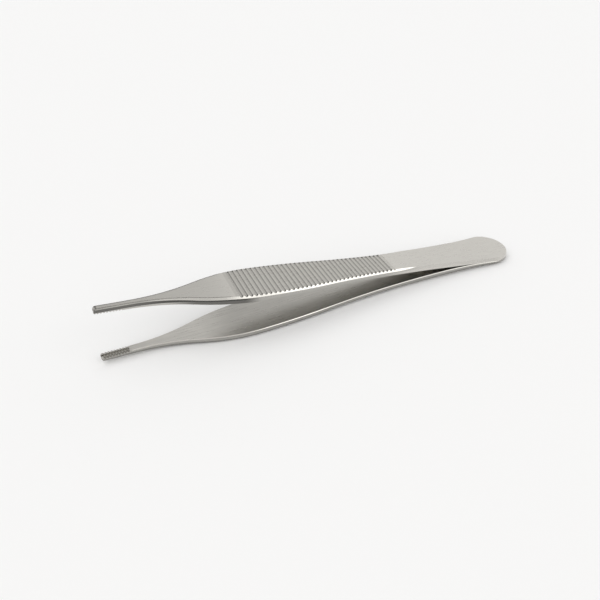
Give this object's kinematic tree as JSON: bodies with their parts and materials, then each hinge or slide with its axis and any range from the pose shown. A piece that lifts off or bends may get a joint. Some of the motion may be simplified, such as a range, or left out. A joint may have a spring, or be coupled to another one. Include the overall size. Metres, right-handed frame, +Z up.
{
  "type": "thumb forceps",
  "caption": "Flat spring-arm thumb forceps with cross-grooved grips, slim necks and toothed tips, its arms joined at a round butt, lying on one arm.",
  "frame": {"origin": "centre of the object's box, on the surface that it lies on", "axes": "X along the length with the tips towards -X and the butt towards +X, Y across the width of the arms, +Z up, from the arm that it lies on to the other"},
  "size_m": [0.1202, 0.0132, 0.0166],
  "materials": {
    "satin_steel": "satin stainless steel, brushed lightly lengthwise, with bright bevels"
  },
  "bodies": {
    "root": {"upper_arm": "satin_steel", "lower_arm": "satin_steel"}
  },
  "joints": []
}
